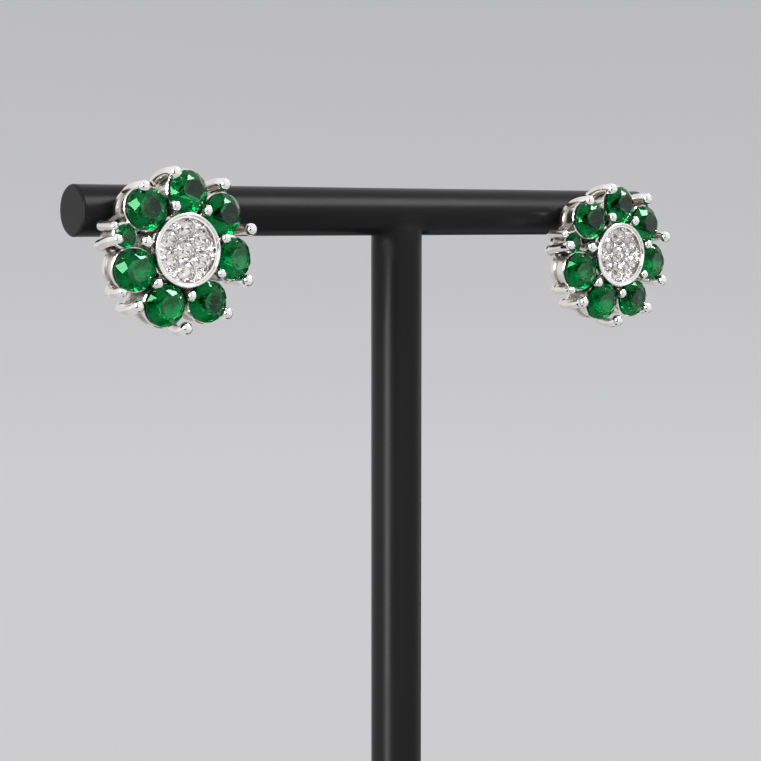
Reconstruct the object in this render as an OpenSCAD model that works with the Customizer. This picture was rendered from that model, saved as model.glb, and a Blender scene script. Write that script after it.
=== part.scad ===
// Pair of flower cluster stud earrings on a plain T-bar stand, in millimetres.
// The stand rests on z = 0, the bar runs along X and the earrings face -Y.

/* [Stand] */
// Height of the bar's middle line above the table
bar_height = 90; // [70:1:120]
// Length of the bar
bar_length = 59.8; // [58:0.2:66]
// Diameter of the bar
bar_d = 4.1; // [3.9:0.1:4.2]
// Diameter of the upright
upright_d = 4.42; // [4.3:0.02:4.7]
// How far the upright stands to the right of the bar's middle
upright_x = 1.4; // [0:0.1:3]
// Diameter of the round foot
base_d = 50; // [44:1:56]
// Thickness of the round foot
base_t = 4; // [3:0.5:6]

/* [Pair] */
// Distance between the middles of the two earrings
pair_spacing = 45.7; // [40:0.1:46]
// How far the rim of each centre disc stands in front of the bar's middle line
rim_forward = 5.75; // [5.7:0.05:6.2]
// How far the middle of the left earring hangs below the bar's middle line
left_drop = 3.07; // [2.9:0.01:3.4]
// How far the middle of the right earring hangs below the bar's middle line
right_drop = 3.86; // [3.5:0.01:4]

/* [Green stones] */
// Diameter of each green stone
green_d = 3.35; // [3.25:0.05:3.4]
// Radius of the circle that the green stones' middles lie on
green_ring_r = 4.58; // [4.55:0.01:4.65]
// Depth of the green stones' girdles behind the rim
green_depth = 0.72; // [0.6:0.02:0.8]
// Outward lean of the green stones, in degrees
dome_tilt = 7.5; // [5:0.5:9]
// Width of a stone's table as a share of its diameter
table_share = 0.53; // [0.5:0.01:0.6]

/* [Side stone] */
// Diameter of the small green stone at the outer side
side_d = 1.8; // [1.6:0.05:1.9]
// Outward lean of the small green stone, in degrees
side_tilt = 0; // [0:1:8]

/* [Centre] */
// Outer radius of the centre rim
rim_r = 2.9; // [2.86:0.01:2.92]
// Inner radius of the centre rim
rim_inner_r = 2.5; // [2.48:0.01:2.54]
// Diameter of each white stone
white_d = 1.56; // [1.5:0.02:1.58]
// Radius of the circle that the six outer white stones' middles lie on
white_ring_r = 1.66; // [1.64:0.01:1.68]

/* [Claws] */
// Diameter of the outer claws' largest ball tips
ball_d = 1.06; // [1:0.01:1.1]
// Diameter of most of the inner claws' ball tips
inner_ball_d = 0.9; // [0.86:0.01:0.94]
// Diameter of the outer claws' bent fingers
finger_d = 0.86; // [0.8:0.02:0.9]

/* [Ear post] */
// Diameter of the ear post
ear_post_d = 0.84; // [0.8:0.01:0.88]
// How far the ear post reaches behind the bar's middle line
ear_post_reach = 6.4; // [5.5:0.1:8]

/* [Hidden] */
$fn = 96;

// Colours
black_coat = "#262628";
silver = "#dcdcd8";
green = "#0a6b34";
white = "#f2eef2";

// Stand
bar_chamfer = 0.12;
base_chamfer = 0.6;
socket_floor = 1;
socket_gap = 0.06;
bore_d = ear_post_d + 0.16;
// The upright's dome starts this far below the bar's middle line and ends inside the bar
upright_dome_drop = 2.1;

// Angles are clockwise from the top, seen from the front. Depths run back from the rim.
green_angles = [5.5, 52.3, 98.7, 151.7, 201.6, 251.4, 315];
// Turn of the facets of every green stone
green_facet_turn = -12;

// Outer claws: [angle, radius, depth and share of ball_d of the ball, angle and radius of the foot]
ANGLE = 0;
RADIUS = 1;
DEPTH = 2;
BALL_SHARE = 3;
FOOT_ANGLE = 4;
FOOT_RADIUS = 5;
outer_claws = [
    [-8.4, 6.02, 0.56, 1, -12, 5.45],
    [34.7, 6.2, 0.54, 0.97, 34.7, 5.85],
    [75.1, 6.2, 0.58, 0.97, 75.1, 5.85],
    [113.6, 6.1, 0.54, 0.93, 113.6, 5.85],
    [143.7, 6.17, 0.51, 0.95, 143.7, 5.85],
    [180.1, 6.05, 0.57, 0.98, 178, 6],
    [224.9, 5.98, 0.59, 1, 223.5, 6.15],
    [239.9, 6.2, 0.9, 0.76, 239, 6],
    [278.3, 6.01, 0.45, 0.83, 273.8, 6],
    [324.2, 6.01, 0.65, 0.94, 318, 5.65]
];
// Inner claws: [angle, radius, depth and share of inner_ball_d of the ball]
inner_claws = [
    [-15.8, 3.55, 0.34, 1],
    [31.5, 3.6, 0.34, 0.98],
    [75.5, 3.6, 0.34, 1],
    [121, 3.57, 0.34, 0.95],
    [174, 3.54, 0.36, 0.97],
    [226, 3.62, 0.38, 1.04],
    [281, 3.6, 0.32, 1.12]
];
foot_depth = 3.1;
foot_d = finger_d + 0.1;
finger_bulge = 0.26;
// A finger is at least this much thinner than its ball
neck = 0.07;

// Cut of the stones, as shares of the diameter
crown_share = 0.2;
pavilion_share = 0.43;
girdle_share = 0.024;
facets = 8;
facet_turn = 360 / facets;
// Clearance between a stone and the metal round it
stone_gap = 0.03;

// Seats under the green stones
seat_wall = 0.13;
seat_drop = 0.28;
seat_height = 0.32;
seat_hole_share = 0.73;
// Wall below each seat, which narrows a little on its way into the back gallery
collet_wall = 0.2;
collet_inset = 0.02;
collet_narrowing = 0.05;
collet_foot_depth = 2.87;

// Small stone beside the claw at the outer side, and the finger behind it
side_angle = 283.2;
side_ring_r = 5;
side_depth = 1.2;
side_seat_wall = 0.16;
side_seat_drop = 0.05;
side_seat_height = 0.4;
side_finger_angle = 288;
side_finger_top = [5.95, 1.5];
side_finger_foot_r = 6.2;
side_finger_d = 0.8;
// Its rod is this much thinner than the balls that round its ends
cover = 0.02;

// Centre cup
neck_r = rim_r - 0.05;
cup_r = rim_r + 0.06;
cup_top_depth = 0.7;
cup_foot_depth = 2.95;
cup_hollow_r = 2.4;
bead_r = 0.12;
step_depth = 0.15;
step_r = rim_inner_r + 0.17;
pave_depth = 0.45;
pave_t = 1;
white_through_r = 0.32;
grain_r = 0.19;
grain_depth = 0.41;
inner_grain_ring_r = white_ring_r / sqrt(3);
outer_grain_ring_r = 2.24;
inner_stub_d = 0.56;
inner_stub_foot = [2.72, 1.3];

// Back gallery, one flat pierced plate
gallery_depth = 2.72;
gallery_t = 0.38;
lobe_ring_r = 4.25;
lobe_r = 1.88;
lobe_band = 0.33;
hub_r = cup_r + 0.1;
hub_hole_r = 2.05;
arm_w = 0.56;
pad_r = 0.82;

// Ear post
post_up = (left_drop + right_drop) / 2;
solder_cone_r = 0.68;
solder_cone_h = 0.3;
post_notch_d = ear_post_d - 0.14;
post_notch_back = 1;
post_notch_w = 0.4;
post_tip_h = 0.35;

// Ear back
ear_back_d = 3.2;
ear_back_t = 0.35;
ear_back_gap = 0.08;
ear_back_bore_d = ear_post_d + 0.06;
scroll_d = 1.9;
scroll_hole_d = 1.3;
scroll_w = 1.6;
scroll_x = 1;
scroll_sink = 0.12;

LEFT = -1;
RIGHT = 1;

function drop(side) = side == LEFT ? left_drop : right_drop;

// Puts an earring, modelled round its own middle with +Z to the viewer, in its place on the bar
module in_place(side) {
    translate([side * pair_spacing / 2, -rim_forward, bar_height - drop(side)])
        rotate([90, 0, 0])
            children();
}

// A place on the flower: +Y points outward from the middle there
module at(angle, radius, depth) {
    rotate([0, 0, -angle])
        translate([0, radius, -depth])
            children();
}

module green_place(i) {
    at(green_angles[i], green_ring_r, green_depth)
        rotate([-dome_tilt, 0, 0])
            children();
}

module side_place() {
    at(side_angle, side_ring_r, side_depth)
        rotate([-side_tilt, 0, 0])
            children();
}

// The middle white stone is number 0 and the other six stand round it
module white_place(i) {
    at((i - 1) * 60, i == 0 ? 0 : white_ring_r, pave_depth)
        children();
}

function ring_of_points(count, radius, z, turn) = [
    for (i = [0 : count - 1]) [radius * cos(360 * i / count + turn), radius * sin(360 * i / count + turn), z]
];

// Round cut stone, its girdle round z = 0: table, star, kite and upper girdle facets above,
// lower girdle and main facets below
module cut_stone(d) {
    r = d / 2;
    half_girdle = d * girdle_share / 2;
    table_r = r * table_share;
    table_z = half_girdle + d * crown_share;
    culet_z = -half_girdle - d * pavilion_share;
    half_turn = facet_turn / 2;
    // Star tips lie in the planes of the kites, which run from the table to the girdle
    star_r = (table_r * cos(half_turn) + r) / 2;
    star_z = table_z + (half_girdle - table_z) * (star_r * cos(half_turn) - table_r) / (r - table_r);
    main_r = r * 0.3;
    main_z = culet_z + (-half_girdle - culet_z) * main_r * cos(half_turn) / r;
    table_0 = 0;
    star_0 = facets;
    upper_0 = 2 * facets;
    lower_0 = 4 * facets;
    main_0 = 6 * facets;
    culet = 7 * facets;
    points = concat(
        ring_of_points(facets, table_r, table_z, 0),
        ring_of_points(facets, star_r, star_z, half_turn),
        ring_of_points(2 * facets, r, half_girdle, 0),
        ring_of_points(2 * facets, r, -half_girdle, 0),
        ring_of_points(facets, main_r, main_z, half_turn),
        [[0, 0, culet_z]]
    );
    faces = concat(
        [[for (i = [facets - 1 : -1 : 0]) table_0 + i]],
        [for (i = [0 : facets - 1]) let (n = (i + 1) % facets)
            [table_0 + i, table_0 + n, star_0 + i]],
        [for (i = [0 : facets - 1]) let (p = (i + facets - 1) % facets)
            [table_0 + i, star_0 + i, upper_0 + 2 * i, star_0 + p]],
        [for (i = [0 : facets - 1])
            [star_0 + i, upper_0 + 2 * i + 1, upper_0 + 2 * i]],
        [for (i = [0 : facets - 1]) let (n = (2 * i + 2) % (2 * facets))
            [star_0 + i, upper_0 + n, upper_0 + 2 * i + 1]],
        [for (i = [0 : 2 * facets - 1]) let (n = (i + 1) % (2 * facets))
            [upper_0 + i, upper_0 + n, lower_0 + n, lower_0 + i]],
        [for (i = [0 : facets - 1])
            [main_0 + i, lower_0 + 2 * i, lower_0 + 2 * i + 1]],
        [for (i = [0 : facets - 1]) let (n = (2 * i + 2) % (2 * facets))
            [main_0 + i, lower_0 + 2 * i + 1, lower_0 + n]],
        [for (i = [0 : facets - 1]) let (p = (i + facets - 1) % facets)
            [culet, main_0 + p, lower_0 + 2 * i, main_0 + i]]
    );
    polyhedron(points, faces);
}

// Room that a stone needs in the metal, round and a little larger than the stone
module stone_room(d) {
    r = d / 2 + stone_gap;
    half_girdle = d * girdle_share / 2 + stone_gap;
    table_r = d / 2 * table_share + stone_gap;
    rotate_extrude()
        polygon([
            [0, -half_girdle - d * pavilion_share - stone_gap],
            [r, -half_girdle],
            [r, half_girdle],
            [table_r, half_girdle + d * crown_share],
            [0, half_girdle + d * crown_share]
        ]);
}

// Ring under a stone's girdle, with its outer edges broken, on a tube that reaches the gallery
module seat_ring(d, depth, wall, drop, height) {
    r = d / 2 + wall;
    hole_r = d / 2 * seat_hole_share;
    top_r = d / 2 - collet_inset;
    foot_r = top_r - collet_narrowing;
    foot_z = depth + drop + height - collet_foot_depth;
    edge = 0.07;
    translate([0, 0, -drop - height])
        rotate_extrude()
            polygon([
                [hole_r, 0],
                [top_r - collet_wall, 0],
                [foot_r - collet_wall, foot_z],
                [foot_r, foot_z],
                [top_r, 0],
                [r - edge, 0],
                [r, edge],
                [r, height - edge],
                [r - edge, height],
                [hole_r, height]
            ]);
}

function spot(angle, radius, depth) = [radius * sin(angle), radius * cos(angle), -depth];

// Straight round rod from one point to another, with a ball over its first end
module rod(from, to, d, ball_d) {
    run = to - from;
    translate(from)
        rotate([0, acos(run[2] / norm(run)), atan2(run[1], run[0])]) {
            cylinder(h = norm(run), d = d);
            sphere(d = ball_d);
        }
}

// Round rod from one point to another in an even bend, which swells towards the direction out
module bent_rod(from, to, out, bulge, d) {
    half = norm(to - from) / 2;
    along = (to - from) / (2 * half);
    across = cross(along, out) / norm(cross(along, out));
    up = cross(across, along);
    bend_r = (half * half + bulge * bulge) / (2 * bulge);
    sweep = 2 * asin(half / bend_r);
    middle = (from + to) / 2 - up * (bend_r - bulge);
    multmatrix([
        [up[0], along[0], -across[0], middle[0]],
        [up[1], along[1], -across[1], middle[1]],
        [up[2], along[2], -across[2], middle[2]],
        [0, 0, 0, 1]
    ])
        rotate([0, 0, -sweep / 2])
            rotate_extrude(angle = sweep)
                translate([bend_r, 0])
                    circle(d = d);
}

// Ball on a finger that bends outward on its way down to the foot
module outer_claw(claw) {
    tip = spot(claw[ANGLE], claw[RADIUS], claw[DEPTH]);
    foot = spot(claw[FOOT_ANGLE], claw[FOOT_RADIUS], foot_depth);
    tip_d = ball_d * claw[BALL_SHARE];
    bent_rod(foot, tip, spot(claw[FOOT_ANGLE], 1, 0), finger_bulge, min(finger_d, tip_d - neck));
    translate(tip)
        sphere(d = tip_d);
    translate(foot)
        sphere(d = foot_d);
}

module inner_claw(claw) {
    tip = spot(claw[ANGLE], claw[RADIUS], claw[DEPTH]);
    foot = spot(claw[ANGLE], inner_stub_foot[0], inner_stub_foot[1]);
    rod(tip, foot, inner_stub_d, inner_ball_d * claw[BALL_SHARE]);
}

module side_finger() {
    top = spot(side_finger_angle, side_finger_top[0], side_finger_top[1]);
    foot = spot(side_finger_angle, side_finger_foot_r, foot_depth);
    rod(top, foot, side_finger_d - cover, side_finger_d);
    translate(foot)
        sphere(d = side_finger_d);
}

// Centre cup: rounded rim bead, inner step, plate for the white stones and the wall below
module cup() {
    rotate_extrude() {
        translate([rim_r - bead_r, -bead_r])
            circle(r = bead_r);
        polygon([
            [0, -pave_depth],
            [rim_inner_r, -pave_depth],
            [rim_inner_r, -step_depth],
            [step_r, -step_depth],
            [rim_r - 1.8 * bead_r, -bead_r],
            [neck_r, -bead_r],
            [neck_r, -cup_top_depth + 0.1],
            [cup_r, -cup_top_depth],
            [cup_r, -cup_foot_depth],
            [cup_hollow_r, -cup_foot_depth],
            [cup_hollow_r, -pave_depth - pave_t],
            [0, -pave_depth - pave_t]
        ]);
    }
}

module grains() {
    for (i = [0 : 5]) {
        at(30 + 60 * i, inner_grain_ring_r, grain_depth)
            sphere(r = grain_r);
        at(30 + 60 * i, outer_grain_ring_r, grain_depth)
            sphere(r = grain_r);
    }
}

module arm(angle, reach) {
    rotate(-angle)
        translate([-arm_w / 2, hub_r - 0.3])
            square([arm_w, reach - hub_r + 0.3]);
}

// One disc behind each stone of the ring
module lobes(r) {
    for (a = concat(green_angles, [side_angle]))
        rotate(-a)
            translate([0, lobe_ring_r])
                circle(r = r);
}

module gallery() {
    translate([0, 0, -gallery_depth - gallery_t])
        linear_extrude(gallery_t) {
            difference() {
                lobes(lobe_r);
                lobes(lobe_r - lobe_band);
            }
            difference() {
                union() {
                    circle(r = hub_r);
                    translate([0, post_up])
                        circle(r = pad_r);
                }
                circle(r = hub_hole_r);
            }
            for (claw = outer_claws)
                arm(claw[FOOT_ANGLE], claw[FOOT_RADIUS]);
            arm(side_finger_angle, side_finger_foot_r);
        }
}

module ear_post() {
    back = rim_forward + ear_post_reach;
    plate_back = gallery_depth + gallery_t;
    translate([0, post_up, 0])
        rotate([180, 0, 0])
            rotate_extrude()
                polygon([
                    [0, plate_back - gallery_t * 0.6],
                    [solder_cone_r, plate_back - gallery_t * 0.6],
                    [solder_cone_r, plate_back],
                    [ear_post_d / 2, plate_back + solder_cone_h],
                    [ear_post_d / 2, back - post_notch_back - post_notch_w],
                    [post_notch_d / 2, back - post_notch_back - post_notch_w * 0.75],
                    [post_notch_d / 2, back - post_notch_back - post_notch_w * 0.25],
                    [ear_post_d / 2, back - post_notch_back],
                    [ear_post_d / 2, back - post_tip_h],
                    [ear_post_d / 4, back],
                    [0, back]
                ]);
}

module seats() {
    for (i = [0 : len(green_angles) - 1])
        green_place(i)
            seat_ring(green_d, green_depth, seat_wall, seat_drop, seat_height);
    side_place()
        seat_ring(side_d, side_depth, side_seat_wall, side_seat_drop, side_seat_height);
}

module seated_cup() {
    cup();
    seats();
}

// Cup with all that stands round its rim
module head() {
    seated_cup();
    grains();
    for (claw = inner_claws)
        inner_claw(claw);
}

// Plate at the back with all that stands on it
module frame() {
    gallery();
    ear_post();
    side_finger();
    for (claw = outer_claws)
        outer_claw(claw);
}

// Green stone in its place, with the same facets facing up in all of them
module green_cut(i, d) {
    green_place(i)
        rotate([0, 0, green_angles[i] + green_facet_turn])
            cut_stone(d);
}

// The claws and seats are cut to the shape of the green stones, the plate is drilled for the white ones
module setting() {
    color(silver)
        difference() {
            union() {
                head();
                frame();
            }
            for (i = [0 : len(green_angles) - 1])
                green_cut(i, green_d + 2 * stone_gap);
            side_place()
                cut_stone(side_d + 2 * stone_gap);
            for (i = [0 : 6])
                white_place(i) {
                    stone_room(white_d);
                    translate([0, 0, -pave_t - 1])
                        cylinder(r = white_through_r, h = pave_t + 1);
                }
        }
}

module green_stone(i) {
    color(green)
        green_cut(i, green_d);
}

module side_stone() {
    color(green)
        side_place()
            cut_stone(side_d);
}

module white_stone(i) {
    color(white)
        white_place(i)
            cut_stone(white_d);
}

// Butterfly back: a round plate with two scrolls that grip the post
module ear_back() {
    start = rim_forward + bar_d / 2 + ear_back_gap;
    color(silver)
        translate([0, post_up, -start])
            rotate([180, 0, 0])
                difference() {
                    union() {
                        cylinder(d = ear_back_d, h = ear_back_t);
                        for (x = [-scroll_x, scroll_x])
                            translate([x, 0, ear_back_t + scroll_d / 2 - scroll_sink])
                                rotate([90, 0, 0])
                                    cylinder(d = scroll_d, h = scroll_w, center = true);
                    }
                    for (x = [-scroll_x, scroll_x])
                        translate([x, 0, ear_back_t + scroll_d / 2 - scroll_sink])
                            rotate([90, 0, 0])
                                cylinder(d = scroll_hole_d, h = scroll_w + 1, center = true);
                    translate([0, 0, -1])
                        cylinder(d = ear_back_bore_d, h = ear_back_t + scroll_d + 2);
                }
}

module bore_for(side) {
    translate([side * pair_spacing / 2, 0, bar_height - drop(side) + post_up])
        rotate([90, 0, 0])
            cylinder(d = bore_d, h = bar_d + 2, center = true);
}

// Bar and upright, welded and coated as one
module display_tee() {
    r = bar_d / 2;
    half = bar_length / 2;
    upright_r = upright_d / 2;
    upright_foot = socket_floor + socket_gap;
    dome_z = bar_height - upright_dome_drop;
    color(black_coat)
        difference() {
            union() {
                translate([0, 0, bar_height])
                    rotate([0, 90, 0])
                        rotate_extrude()
                            polygon([
                                [0, -half],
                                [r - bar_chamfer, -half],
                                [r, -half + bar_chamfer],
                                [r, half - bar_chamfer],
                                [r - bar_chamfer, half],
                                [0, half]
                            ]);
                translate([upright_x, 0, 0])
                    rotate_extrude() {
                        translate([0, upright_foot])
                            square([upright_r, dome_z - upright_foot]);
                        translate([0, dome_z])
                            intersection() {
                                circle(r = upright_r);
                                square(upright_d);
                            }
                    }
            }
            bore_for(LEFT);
            bore_for(RIGHT);
        }
}

// Round foot with a blind socket for the upright
module display_base() {
    color(black_coat)
        translate([upright_x, 0, 0])
            difference() {
                rotate_extrude()
                    polygon([
                        [0, 0],
                        [base_d / 2 - base_chamfer, 0],
                        [base_d / 2, base_chamfer],
                        [base_d / 2, base_t - base_chamfer],
                        [base_d / 2 - base_chamfer, base_t],
                        [0, base_t]
                    ]);
                translate([0, 0, socket_floor])
                    cylinder(d = upright_d + 2 * socket_gap, h = base_t);
            }
}

module left_setting() in_place(LEFT) setting();
module left_green_stone_1() in_place(LEFT) green_stone(0);
module left_green_stone_2() in_place(LEFT) green_stone(1);
module left_green_stone_3() in_place(LEFT) green_stone(2);
module left_green_stone_4() in_place(LEFT) green_stone(3);
module left_green_stone_5() in_place(LEFT) green_stone(4);
module left_green_stone_6() in_place(LEFT) green_stone(5);
module left_green_stone_7() in_place(LEFT) green_stone(6);
module left_side_stone() in_place(LEFT) side_stone();
module left_white_stone_1() in_place(LEFT) white_stone(0);
module left_white_stone_2() in_place(LEFT) white_stone(1);
module left_white_stone_3() in_place(LEFT) white_stone(2);
module left_white_stone_4() in_place(LEFT) white_stone(3);
module left_white_stone_5() in_place(LEFT) white_stone(4);
module left_white_stone_6() in_place(LEFT) white_stone(5);
module left_white_stone_7() in_place(LEFT) white_stone(6);
module left_ear_back() in_place(LEFT) ear_back();

module right_setting() in_place(RIGHT) setting();
module right_green_stone_1() in_place(RIGHT) green_stone(0);
module right_green_stone_2() in_place(RIGHT) green_stone(1);
module right_green_stone_3() in_place(RIGHT) green_stone(2);
module right_green_stone_4() in_place(RIGHT) green_stone(3);
module right_green_stone_5() in_place(RIGHT) green_stone(4);
module right_green_stone_6() in_place(RIGHT) green_stone(5);
module right_green_stone_7() in_place(RIGHT) green_stone(6);
module right_side_stone() in_place(RIGHT) side_stone();
module right_white_stone_1() in_place(RIGHT) white_stone(0);
module right_white_stone_2() in_place(RIGHT) white_stone(1);
module right_white_stone_3() in_place(RIGHT) white_stone(2);
module right_white_stone_4() in_place(RIGHT) white_stone(3);
module right_white_stone_5() in_place(RIGHT) white_stone(4);
module right_white_stone_6() in_place(RIGHT) white_stone(5);
module right_white_stone_7() in_place(RIGHT) white_stone(6);
module right_ear_back() in_place(RIGHT) ear_back();

display_tee();
display_base();
left_setting();
left_green_stone_1();
left_green_stone_2();
left_green_stone_3();
left_green_stone_4();
left_green_stone_5();
left_green_stone_6();
left_green_stone_7();
left_side_stone();
left_white_stone_1();
left_white_stone_2();
left_white_stone_3();
left_white_stone_4();
left_white_stone_5();
left_white_stone_6();
left_white_stone_7();
left_ear_back();
right_setting();
right_green_stone_1();
right_green_stone_2();
right_green_stone_3();
right_green_stone_4();
right_green_stone_5();
right_green_stone_6();
right_green_stone_7();
right_side_stone();
right_white_stone_1();
right_white_stone_2();
right_white_stone_3();
right_white_stone_4();
right_white_stone_5();
right_white_stone_6();
right_white_stone_7();
right_ear_back();
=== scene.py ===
# Pair of flower cluster earrings on a black T-bar stand: materials, studio and camera
import math

import bmesh
import bpy
from mathutils import Matrix, Vector


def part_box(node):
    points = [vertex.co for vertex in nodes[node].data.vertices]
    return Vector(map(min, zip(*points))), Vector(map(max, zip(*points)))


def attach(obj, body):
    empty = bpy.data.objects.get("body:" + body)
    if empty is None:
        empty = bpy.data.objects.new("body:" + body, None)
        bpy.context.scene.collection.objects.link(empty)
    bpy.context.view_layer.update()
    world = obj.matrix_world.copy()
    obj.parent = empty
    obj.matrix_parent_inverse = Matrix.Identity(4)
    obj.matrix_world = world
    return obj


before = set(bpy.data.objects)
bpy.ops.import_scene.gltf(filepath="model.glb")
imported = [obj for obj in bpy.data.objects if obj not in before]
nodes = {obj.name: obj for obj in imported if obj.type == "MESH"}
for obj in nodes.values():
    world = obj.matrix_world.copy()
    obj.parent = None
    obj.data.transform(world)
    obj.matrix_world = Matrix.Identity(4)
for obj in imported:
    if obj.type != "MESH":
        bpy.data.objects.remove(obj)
scene = bpy.context.scene
bpy.context.view_layer.update()

MM = 0.001
SIDES = ("left", "right")

# Black coat: the radius of its edges, its orange peel, the patches in which its gloss varies, the
# noise values between which it does, its roughness there, and its weak reflection
COAT_COLOUR = "#151516"
COAT_EDGE = 0.3 * MM
PEEL_SIZE = 1.1 * MM
PEEL_DEPTH = 0.008 * MM
MIST_SIZE = 8 * MM
MIST_LOW = 0.3
MIST_HIGH = 0.7
COAT_GLOSSIEST = 0.27
COAT_DULLEST = 0.35
COAT_SPECULAR = 0.08

# Filled weld under the coat, where the upright meets the bar: the radius of its edge, its middle
# and its reach, and the width over which its edge sharpens to the plain one
WELD_EDGE = 2.2 * MM
WELD_MIDDLE = Vector((1.4, 0, 88)) * MM
WELD_REACH = 2.7 * MM
WELD_FADE = 0.8 * MM

# Silver is fully polished in front of the first place along Y, and satin behind the second
POLISH_FRONT = -4.9 * MM
POLISH_BACK = -4.2 * MM
POLISHED_COLOUR = "#f6f4f2"
SATIN_COLOUR = "#e2dfda"
# What the satin finish and the dull recesses add to the roughness
SATIN_ROUGHNESS = 0.14
RECESS_ROUGHNESS = 0.2
# Recesses up to about this wide are dull, and painted darker as shade: wholly where no more than
# the first share of the view out of them is open, and not at all where more than the second is
RECESS_SIZE = 1 * MM
RECESS_CLOSED = 0.1
RECESS_OPEN = 0.65
# Painted shade: the darker colour that the recesses take
RECESS_SHADE_COLOUR = "#8c857e"
# Polishing marks, drawn some twenty times as coarse as real ones so that they show, the noise
# values between which they fade in, and the roughness of the silver between and in them
MARK_SIZE = 0.4 * MM
MARK_DEPTH = 0.0012 * MM
MARK_LOW = 0.35
MARK_HIGH = 0.65
POLISH_BEST = 0.04
POLISH_WORN = 0.1
# The plate between the white stones, and the fine grains raised on it
PLATE_RADIUS = 2.5 * MM
GRAIN_SIZE = 0.24 * MM

# Beads in each gap between the outer white stones: [degrees from the gap, radius, diameter]
PAVE_BEADS = (
    (0, 1.97 * MM, 0.2 * MM),
    (-13, 2.36 * MM, 0.2 * MM),
    (13, 2.36 * MM, 0.2 * MM),
)
WHITE_STONES_ROUND = 6
# The beads' middles lie this far behind the white stones' tables, in the plate's face
BEAD_SINK = 0.36 * MM

# Where a stone's crown ends and its back begins, as shares of its depth
CROWN_END = 0.33
BACK_START = 0.4
WHITE_COLOUR = "#fff8f7"
WHITE_IOR = 2
WHITE_BACK_ROUGHNESS = 0.08
GREEN_IOR = 1.58
GREEN_BACK_ROUGHNESS = 0.16
# Noise that breaks up the green stones' painted light, and how much of it is added to a place's
# share of the height: painted flashes where the sum is below the first value, painted shade above the
# second
FLASH_NOISE_SIZE = 0.55 * MM
FLASH_NOISE_SHARE = 0.5
PAINTED_FLASH_END = 0.4
PAINTED_SHADE_START = 0.85
# Light green painted low in the stones as flashes, and dark green painted high in them as shade
PAINTED_FLASH_COLOUR = "#20ff90"
PAINTED_SHADE_COLOUR = "#00481e"
# Tint of what their crowns reflect
CROWN_SHINE = "#5a9a70"
# What light turns to on its way through them, and how densely, for each metre
BODY_COLOUR = "#00a84c"
BODY_DENSITY = 110
# Small dents that polishing leaves on the green backs
DENT_SIZE = 0.28 * MM
DENT_DEPTH = 0.04 * MM
# A facet whose normal points further to the front than this is a stone's table
TABLE_FACING = -0.96
TABLE_COLOUR = "#007038"
TABLE_SHINE = "#e0f0e8"

# Places of a colour Mix node's two colours, and of the colour that it gives
MIX_FIRST = 6
MIX_SECOND = 7
MIX_COLOUR = 2

# Camera, found by lining the claws, stones, bar and upright up with the photograph. In degrees,
# yaw is the azimuth it looks from, left of the front, pitch its elevation and field its view angle.
CAMERA_PLACE = Vector((-97.28, -131.56, 89.1)) * MM
CAMERA_YAW = 36.39
CAMERA_PITCH = 4.8
CAMERA_FIELD = 22.82
SENSOR = 36

# Studio: a round bowl of pale paper, so every view has the same seamless background, in metres
FLOOR_RADIUS = 0.55
BEND_RADIUS = 0.3
WALL_HEIGHT = 0.6
BOWL_SEGMENTS = 96
BEND_SEGMENTS = 16
PAPER_COLOUR = "#dadadc"
PAPER_ROUGHNESS = 0.9

# The elevation in degrees where the table ends, and the brightness above and below it
TABLE_EDGE = -13
ROOM_LIGHT = 0.9
TABLE_LIGHT = 0.66

# Dark gaps between the studio's screens, wide at the foot and pointed above, in degrees: [azimuth
# from the front towards the left, half width at the foot, elevation of the foot and of the point]
DARK_GAPS = (
    (46, 22, -16, 70),
    (-122, 26, -38, 10),
)

# Softboxes: [name, what it lights, azimuth, elevation, distance, width, height, brightness], in
# degrees and metres. The black tee and the earrings have lights of their own, as in a retouched
# product photograph.
SOFTBOXES = (
    ("softbox_right", "earrings", -66, 55, 0.42, 0.2, 0.17, 40),
    ("softbox_left", "earrings", 66, 20, 0.45, 0.11, 0.24, 40),
    ("softbox_bar", "tee", -40, 39, 0.5, 0.24, 0.24, 14),
    ("softbox_upright", "tee", 79, 0, 0.5, 0.16, 0.5, 20),
)
SOFTBOX_TARGET = Vector((0, -4, 87)) * MM


def linear(colour):
    """Turns a #rrggbb colour into Blender's linear values."""
    channels = [int(colour[i : i + 2], 16) / 255 for i in (1, 3, 5)]
    return [c / 12.92 if c <= 0.04045 else ((c + 0.055) / 1.055) ** 2.4 for c in channels] + [1]


def towards(azimuth, elevation):
    """The unit vector at an azimuth from the front (-Y) towards the left (-X) and an elevation."""
    a = math.radians(azimuth)
    e = math.radians(elevation)
    return Vector((-math.sin(a) * math.cos(e), -math.cos(a) * math.cos(e), math.sin(e)))


def disc_middle(side):
    """The middle of one earring's disc, from its middle white stone."""
    low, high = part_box(side + "_white_stone_1")
    return (low + high) / 2


def fill(tree, node, inputs):
    """Gives a node's inputs, by their name or place, a value or another node's output."""
    for socket, value in inputs.items():
        if isinstance(value, bpy.types.NodeSocket):
            tree.links.new(value, node.inputs[socket])
        else:
            node.inputs[socket].default_value = value


def add(tree, kind, inputs, **properties):
    """Adds one node with its properties and inputs."""
    node = tree.nodes.new(kind)
    for key, value in properties.items():
        setattr(node, key, value)
    fill(tree, node, inputs)
    return node


def new_material(name):
    """A material with its node tree and its Principled shader."""
    material = bpy.data.materials.new(name)
    material.use_nodes = True
    return material, material.node_tree, material.node_tree.nodes["Principled BSDF"]


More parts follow.
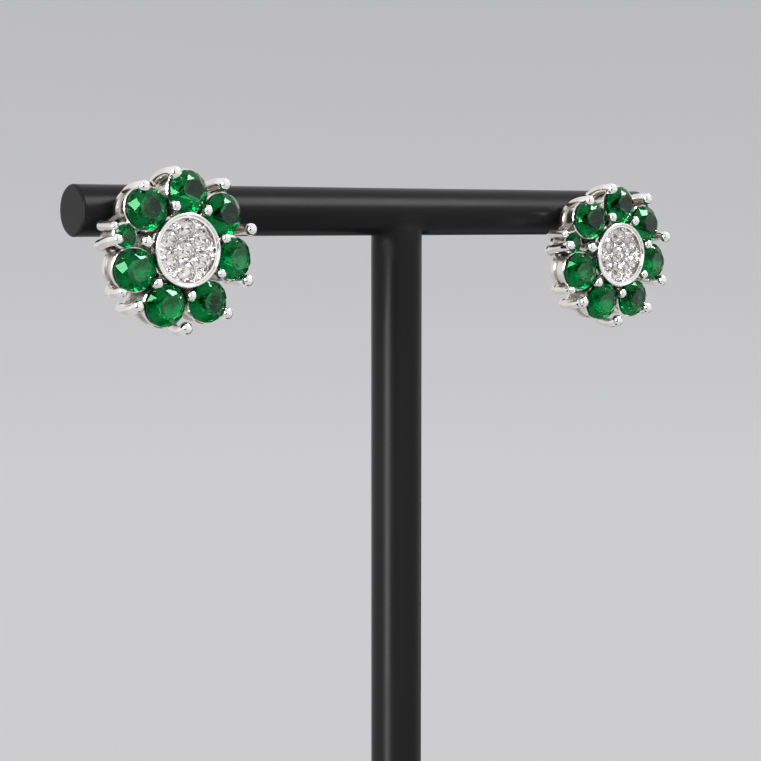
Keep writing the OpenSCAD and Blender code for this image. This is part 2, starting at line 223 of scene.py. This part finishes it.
def satin_black():
    """Steel under a sprayed black coat, which looks satin and even: faint orange peel, a gloss that
    varies a little, soft edges and a filled weld with no corner."""
    material, tree, shader = new_material("satin_black_coat")
    place = add(tree, "ShaderNodeTexCoord", {}).outputs["Object"]
    from_weld = add(tree, "ShaderNodeVectorMath", {0: place, 1: WELD_MIDDLE}, operation="DISTANCE")
    edge = add(
        tree,
        "ShaderNodeMapRange",
        {
            "Value": from_weld.outputs["Value"],
            "From Min": WELD_REACH,
            "From Max": WELD_REACH + WELD_FADE,
            "To Min": WELD_EDGE,
            "To Max": COAT_EDGE,
        },
    )
    edges = add(tree, "ShaderNodeBevel", {"Radius": edge.outputs["Result"]}, samples=12)
    peel = add(tree, "ShaderNodeTexNoise", {"Vector": place, "Scale": 1 / PEEL_SIZE})
    bump = add(
        tree,
        "ShaderNodeBump",
        {
            "Height": peel.outputs["Fac"],
            "Normal": edges.outputs["Normal"],
            "Distance": PEEL_DEPTH,
        },
    )
    mist = add(tree, "ShaderNodeTexNoise", {"Vector": place, "Scale": 1 / MIST_SIZE, "Detail": 4})
    gloss = add(
        tree,
        "ShaderNodeMapRange",
        {
            "Value": mist.outputs["Fac"],
            "From Min": MIST_LOW,
            "From Max": MIST_HIGH,
            "To Min": COAT_GLOSSIEST,
            "To Max": COAT_DULLEST,
        },
    )
    fill(
        tree,
        shader,
        {
            "Base Color": linear(COAT_COLOUR),
            "Specular IOR Level": COAT_SPECULAR,
            "Roughness": gloss.outputs["Result"],
            "Normal": bump.outputs["Normal"],
        },
    )
    return material


def polished_silver(side):
    """Silver of one earring: a bright mirror in front where the polishing wheel reaches, satin
    behind, and in the recesses rougher and painted darker as shade, with fine polishing marks. The
    plate between the white stones sparkles from its fine raised grains."""
    material, tree, shader = new_material(side + "_polished_silver")
    place = add(tree, "ShaderNodeTexCoord", {}).outputs["Object"]
    axes = add(tree, "ShaderNodeSeparateXYZ", {"Vector": place})
    behind = add(
        tree,
        "ShaderNodeMapRange",
        {"Value": axes.outputs["Y"], "From Min": POLISH_FRONT, "From Max": POLISH_BACK},
    ).outputs["Result"]

    distance = add(
        tree, "ShaderNodeVectorMath", {0: place, 1: disc_middle(side)}, operation="DISTANCE"
    )
    off_plate = add(
        tree,
        "ShaderNodeMapRange",
        {
            "Value": distance.outputs["Value"],
            "From Min": PLATE_RADIUS - GRAIN_SIZE / 4,
            "From Max": PLATE_RADIUS,
        },
    ).outputs["Result"]
    # Painted shade: where ambient occlusion finds a recess off the plate, the colour darkens and the
    # silver turns rougher
    air = add(tree, "ShaderNodeAmbientOcclusion", {"Distance": RECESS_SIZE}, samples=8)
    dull_shaded_recess = add(
        tree,
        "ShaderNodeMapRange",
        {
            "Value": air.outputs["AO"],
            "From Min": RECESS_CLOSED,
            "From Max": RECESS_OPEN,
            "To Min": off_plate,
            "To Max": 0,
        },
    ).outputs["Result"]

    front = add(
        tree,
        "ShaderNodeMix",
        {"Factor": behind, MIX_FIRST: linear(POLISHED_COLOUR), MIX_SECOND: linear(SATIN_COLOUR)},
        data_type="RGBA",
    )
    colour = add(
        tree,
        "ShaderNodeMix",
        {"Factor": dull_shaded_recess, MIX_FIRST: front.outputs[MIX_COLOUR], MIX_SECOND: linear(RECESS_SHADE_COLOUR)},
        data_type="RGBA",
    )

    marks = add(tree, "ShaderNodeTexNoise", {"Vector": place, "Scale": 1 / MARK_SIZE, "Detail": 3})
    worn = add(
        tree,
        "ShaderNodeMapRange",
        {
            "Value": marks.outputs["Fac"],
            "From Min": MARK_LOW,
            "From Max": MARK_HIGH,
            "To Min": POLISH_BEST,
            "To Max": POLISH_WORN,
        },
    )
    satin = add(
        tree,
        "ShaderNodeMath",
        {0: behind, 1: SATIN_ROUGHNESS, 2: worn.outputs["Result"]},
        operation="MULTIPLY_ADD",
    )
    dull = add(
        tree,
        "ShaderNodeMath",
        {0: dull_shaded_recess, 1: RECESS_ROUGHNESS, 2: satin.outputs["Value"]},
        operation="MULTIPLY_ADD",
    )

    bump = add(tree, "ShaderNodeBump", {"Height": marks.outputs["Fac"], "Distance": MARK_DEPTH})
    cells = add(tree, "ShaderNodeTexVoronoi", {"Vector": place, "Scale": 1 / GRAIN_SIZE})
    domes = add(
        tree,
        "ShaderNodeMapRange",
        {"Value": off_plate, "To Min": cells.outputs["Distance"], "To Max": 0},
    )
    grains = add(
        tree,
        "ShaderNodeBump",
        {
            "Height": domes.outputs["Result"],
            "Normal": bump.outputs["Normal"],
            "Distance": GRAIN_SIZE / 2,
        },
        invert=True,
    )
    fill(
        tree,
        shader,
        {
            "Base Color": colour.outputs[MIX_COLOUR],
            "Metallic": 1,
            "Roughness": dull.outputs["Value"],
            "Normal": grains.outputs["Normal"],
        },
    )
    return material


def on_stone(tree, axis, low, high):
    """A share that grows from 0 to 1 between two places along a stone's own box."""
    place = add(tree, "ShaderNodeTexCoord", {}).outputs["Generated"]
    axes = add(tree, "ShaderNodeSeparateXYZ", {"Vector": place})
    share = add(
        tree,
        "ShaderNodeMapRange",
        {"Value": axes.outputs[axis], "From Min": low, "From Max": high},
    )
    return share.outputs["Result"]


def white_stone():
    """Clear cut stone, near to zirconia, which sparkles white: a sharp polished crown, and a back
    dulled a little by the polish left in its seat."""
    material, tree, shader = new_material("white_cut_stone")
    behind = on_stone(tree, "Y", CROWN_END, BACK_START)
    dull = add(tree, "ShaderNodeMath", {0: behind, 1: WHITE_BACK_ROUGHNESS}, operation="MULTIPLY")
    fill(
        tree,
        shader,
        {
            "Base Color": linear(WHITE_COLOUR),
            "IOR": WHITE_IOR,
            "Transmission Weight": 1,
            "Roughness": dull.outputs["Value"],
        },
    )
    return material


def green_stone():
    """Deep green cut stone, as emerald: colour painted dark above as shade and light below as
    flashes, the edge between them broken by noise, with small dents on its back. Its table shines
    palest."""
    material, tree, shader = new_material("green_cut_stone")
    place = add(tree, "ShaderNodeTexCoord", {}).outputs["Object"]
    behind = on_stone(tree, "Y", CROWN_END, BACK_START)
    height = on_stone(tree, "Z", 0, 1)
    dull = add(tree, "ShaderNodeMath", {0: behind, 1: GREEN_BACK_ROUGHNESS}, operation="MULTIPLY")

    # Painted light: light green flashes low in the stone and dark shade high in it, with a noisy edge
    flash_noise = add(tree, "ShaderNodeTexNoise", {"Vector": place, "Scale": 1 / FLASH_NOISE_SIZE, "Detail": 3})
    flash_height = add(
        tree,
        "ShaderNodeMath",
        {0: flash_noise.outputs["Fac"], 1: FLASH_NOISE_SHARE, 2: height},
        operation="MULTIPLY_ADD",
    )
    # Share of the painted flash: 1 low in the stone, falling to 0 where the painted shade begins
    below = add(
        tree,
        "ShaderNodeMapRange",
        {
            "Value": flash_height.outputs["Value"],
            "From Min": PAINTED_FLASH_END,
            "From Max": PAINTED_SHADE_START,
            "To Min": 1,
            "To Max": 0,
        },
    ).outputs["Result"]
    shade_and_flash = add(
        tree,
        "ShaderNodeMix",
        {"Factor": below, MIX_FIRST: linear(PAINTED_SHADE_COLOUR), MIX_SECOND: linear(PAINTED_FLASH_COLOUR)},
        data_type="RGBA",
    )

    facing = add(tree, "ShaderNodeNewGeometry", {})
    normal = add(tree, "ShaderNodeSeparateXYZ", {"Vector": facing.outputs["True Normal"]})
    table = add(
        tree, "ShaderNodeMath", {0: normal.outputs["Y"], 1: TABLE_FACING}, operation="LESS_THAN"
    ).outputs["Value"]
    colour = add(
        tree,
        "ShaderNodeMix",
        {"Factor": table, MIX_FIRST: shade_and_flash.outputs[MIX_COLOUR], MIX_SECOND: linear(TABLE_COLOUR)},
        data_type="RGBA",
    )
    shine = add(
        tree,
        "ShaderNodeMix",
        {"Factor": table, MIX_FIRST: linear(CROWN_SHINE), MIX_SECOND: linear(TABLE_SHINE)},
        data_type="RGBA",
    )

    cells = add(tree, "ShaderNodeTexVoronoi", {"Vector": place, "Scale": 1 / DENT_SIZE})
    low_back = add(tree, "ShaderNodeMath", {0: behind, 1: below}, operation="MULTIPLY")
    dents = add(
        tree,
        "ShaderNodeMath",
        {0: cells.outputs["Distance"], 1: low_back.outputs["Value"]},
        operation="MULTIPLY",
    )
    bump = add(tree, "ShaderNodeBump", {"Height": dents.outputs["Value"], "Distance": DENT_DEPTH})
    body = add(
        tree, "ShaderNodeVolumeAbsorption", {"Color": linear(BODY_COLOUR), "Density": BODY_DENSITY}
    )
    fill(tree, tree.nodes["Material Output"], {"Volume": body.outputs["Volume"]})
    fill(
        tree,
        shader,
        {
            "Base Color": colour.outputs[MIX_COLOUR],
            "Specular Tint": shine.outputs[MIX_COLOUR],
            "IOR": GREEN_IOR,
            "Transmission Weight": 1,
            "Roughness": dull.outputs["Value"],
            "Normal": bump.outputs["Normal"],
        },
    )
    return material


def paper():
    """Pale matt paper of the studio bowl, which shows no shine and no edge."""
    material, tree, shader = new_material("pale_paper")
    fill(
        tree,
        shader,
        {
            "Base Color": linear(PAPER_COLOUR),
            "Roughness": PAPER_ROUGHNESS,
            "Specular IOR Level": 0,
        },
    )
    return material


def bowl():
    """The floor, its round bend and the wall, as one profile turned about the vertical axis through
    the origin. Only the camera sees it, so the metal and the stones reflect the studio's screens."""
    profile = [(0, 0), (FLOOR_RADIUS, 0)]
    for i in range(1, BEND_SEGMENTS + 1):
        a = math.pi / 2 * i / BEND_SEGMENTS
        profile.append((FLOOR_RADIUS + BEND_RADIUS * math.sin(a), BEND_RADIUS * (1 - math.cos(a))))
    profile.append((FLOOR_RADIUS + BEND_RADIUS, WALL_HEIGHT))

    mesh = bmesh.new()
    points = [mesh.verts.new((r, 0, z)) for r, z in profile]
    edges = [mesh.edges.new(pair) for pair in zip(points, points[1:])]
    bmesh.ops.spin(
        mesh,
        geom=points + edges,
        cent=(0, 0, 0),
        axis=(0, 0, 1),
        angle=2 * math.pi,
        steps=BOWL_SEGMENTS,
        use_merge=True,
    )
    bmesh.ops.remove_doubles(mesh, verts=mesh.verts, dist=0.01 * MM)
    bmesh.ops.recalc_face_normals(mesh, faces=mesh.faces)
    data = bpy.data.meshes.new("floor")
    mesh.to_mesh(data)
    mesh.free()
    data.shade_smooth()
    data.materials.append(paper())

    floor = bpy.data.objects.new("floor", data)
    floor.visible_glossy = False
    floor.visible_transmission = False
    floor.visible_diffuse = False
    floor.visible_shadow = False
    scene.collection.objects.link(floor)


def pave_beads(side):
    """Small silver beads raised between the white stones and along the rim of one disc."""
    middle = disc_middle(side)
    middle.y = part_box(side + "_white_stone_1")[0].y + BEAD_SINK
    mesh = bmesh.new()
    for gap in range(WHITE_STONES_ROUND):
        for away, radius, size in PAVE_BEADS:
            a = math.radians((gap + 0.5) * 360 / WHITE_STONES_ROUND + away)
            bead = middle + Vector((math.sin(a), 0, math.cos(a))) * radius
            bmesh.ops.create_icosphere(
                mesh, subdivisions=3, radius=size / 2, matrix=Matrix.Translation(bead)
            )
    data = bpy.data.meshes.new(side + "_pave_beads")
    mesh.to_mesh(data)
    mesh.free()
    data.shade_smooth()
    beads = bpy.data.objects.new(side + "_pave_beads", data)
    scene.collection.objects.link(beads)
    bpy.data.collections["earrings"].objects.link(beads)
    data.materials.append(bpy.data.materials[side + "_polished_silver"])
    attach(beads, "root")


def softbox(name, lit, azimuth, elevation, distance, width, height, brightness):
    """A soft rectangular light that faces the earrings, lights one group and shows to the eye only
    as a reflection in it."""
    light = bpy.data.lights.new(name, "AREA")
    light.shape = "RECTANGLE"
    light.size = width
    light.size_y = height
    # Blender takes the watts that the whole area sends out
    light.energy = brightness * math.pi * width * height
    lamp = bpy.data.objects.new(name, light)
    direction = towards(azimuth, elevation)
    lamp.location = SOFTBOX_TARGET + direction * distance
    lamp.rotation_mode = "QUATERNION"
    lamp.rotation_quaternion = (-direction).to_track_quat("-Z", "Y")
    lamp.visible_camera = False
    lamp.light_linking.receiver_collection = bpy.data.collections[lit]
    scene.collection.objects.link(lamp)


def dark_gap(tree, side, up, azimuth, half_width, foot, point):
    """1 inside a gap that narrows from its foot to its point, and 0 outside it. All in radians."""
    width = add(
        tree,
        "ShaderNodeMapRange",
        {"Value": up, "From Min": foot, "From Max": point, "To Min": half_width, "To Max": 0},
        clamp=False,
    )
    inside = add(
        tree, "ShaderNodeMath", {0: side, 1: azimuth, 2: width.outputs["Result"]}, operation="COMPARE"
    )
    above = add(tree, "ShaderNodeMath", {0: up, 1: foot}, operation="GREATER_THAN")
    gap = add(
        tree,
        "ShaderNodeMath",
        {0: inside.outputs["Value"], 1: above.outputs["Value"]},
        operation="MULTIPLY",
    )
    return gap.outputs["Value"]


def studio_light():
    """White screens all round over a pale table, with the dark gaps that polished metal shows."""
    world = bpy.data.worlds.new("studio")
    world.use_nodes = True
    tree = world.node_tree
    place = add(tree, "ShaderNodeTexCoord", {}).outputs["Generated"]
    # Turned half round, so that azimuths count from the front (-Y) towards the left (-X)
    turned = add(tree, "ShaderNodeVectorMath", {0: place, 1: (-1, -1, 1)}, operation="MULTIPLY")
    axes = add(tree, "ShaderNodeSeparateXYZ", {"Vector": turned.outputs["Vector"]})
    side = add(
        tree, "ShaderNodeMath", {0: axes.outputs["X"], 1: axes.outputs["Y"]}, operation="ARCTAN2"
    ).outputs["Value"]
    up = add(tree, "ShaderNodeMath", {0: axes.outputs["Z"]}, operation="ARCSINE").outputs["Value"]
    over_table = add(
        tree, "ShaderNodeMath", {0: up, 1: math.radians(TABLE_EDGE)}, operation="GREATER_THAN"
    )
    light = add(
        tree,
        "ShaderNodeMix",
        {"Factor": over_table.outputs["Value"], "A": TABLE_LIGHT, "B": ROOM_LIGHT},
    ).outputs["Result"]
    for gap in DARK_GAPS:
        dark = dark_gap(tree, side, up, *[math.radians(value) for value in gap])
        light = add(tree, "ShaderNodeMix", {"Factor": dark, "A": light, "B": 0}).outputs["Result"]
    fill(tree, tree.nodes["Background"], {"Color": linear("#ffffff"), "Strength": light})
    scene.world = world


def camera():
    """The camera at the photograph's viewing angle."""
    lens = bpy.data.cameras.new("camera")
    lens.sensor_width = SENSOR
    lens.lens = SENSOR / 2 / math.tan(math.radians(CAMERA_FIELD) / 2)
    lens.clip_start = 0.01
    lens.clip_end = 10
    eye = bpy.data.objects.new("camera", lens)
    eye.location = CAMERA_PLACE
    eye.rotation_mode = "QUATERNION"
    eye.rotation_quaternion = (-towards(CAMERA_YAW, CAMERA_PITCH)).to_track_quat("-Z", "Y")
    scene.collection.objects.link(eye)
    scene.camera = eye


def finish_nodes():
    """Gives every CAD node the finish of the real thing."""
    black = satin_black()
    silver = {side: polished_silver(side) for side in SIDES}
    green = green_stone()
    white = white_stone()
    for name, piece in nodes.items():
        if "green" in name or "side_stone" in name:
            material = green
        elif "white" in name:
            material = white
        elif "display" in name:
            material = black
        else:
            material = silver[name.split("_")[0]]
        piece.material_slots[0].material = material


def group_nodes():
    """Two collections that the softboxes light apart. The foot is in neither, so it doesn't glare."""
    for name in ("earrings", "tee"):
        bpy.data.collections.new(name)
    for name, piece in nodes.items():
        if name == "display_tee":
            bpy.data.collections["tee"].objects.link(piece)
        elif name != "display_base":
            bpy.data.collections["earrings"].objects.link(piece)


scene.view_settings.view_transform = "Standard"
finish_nodes()
group_nodes()
for side in SIDES:
    pave_beads(side)
bowl()
studio_light()
for box in SOFTBOXES:
    softbox(*box)
camera()

bpy.context.view_layer.update()
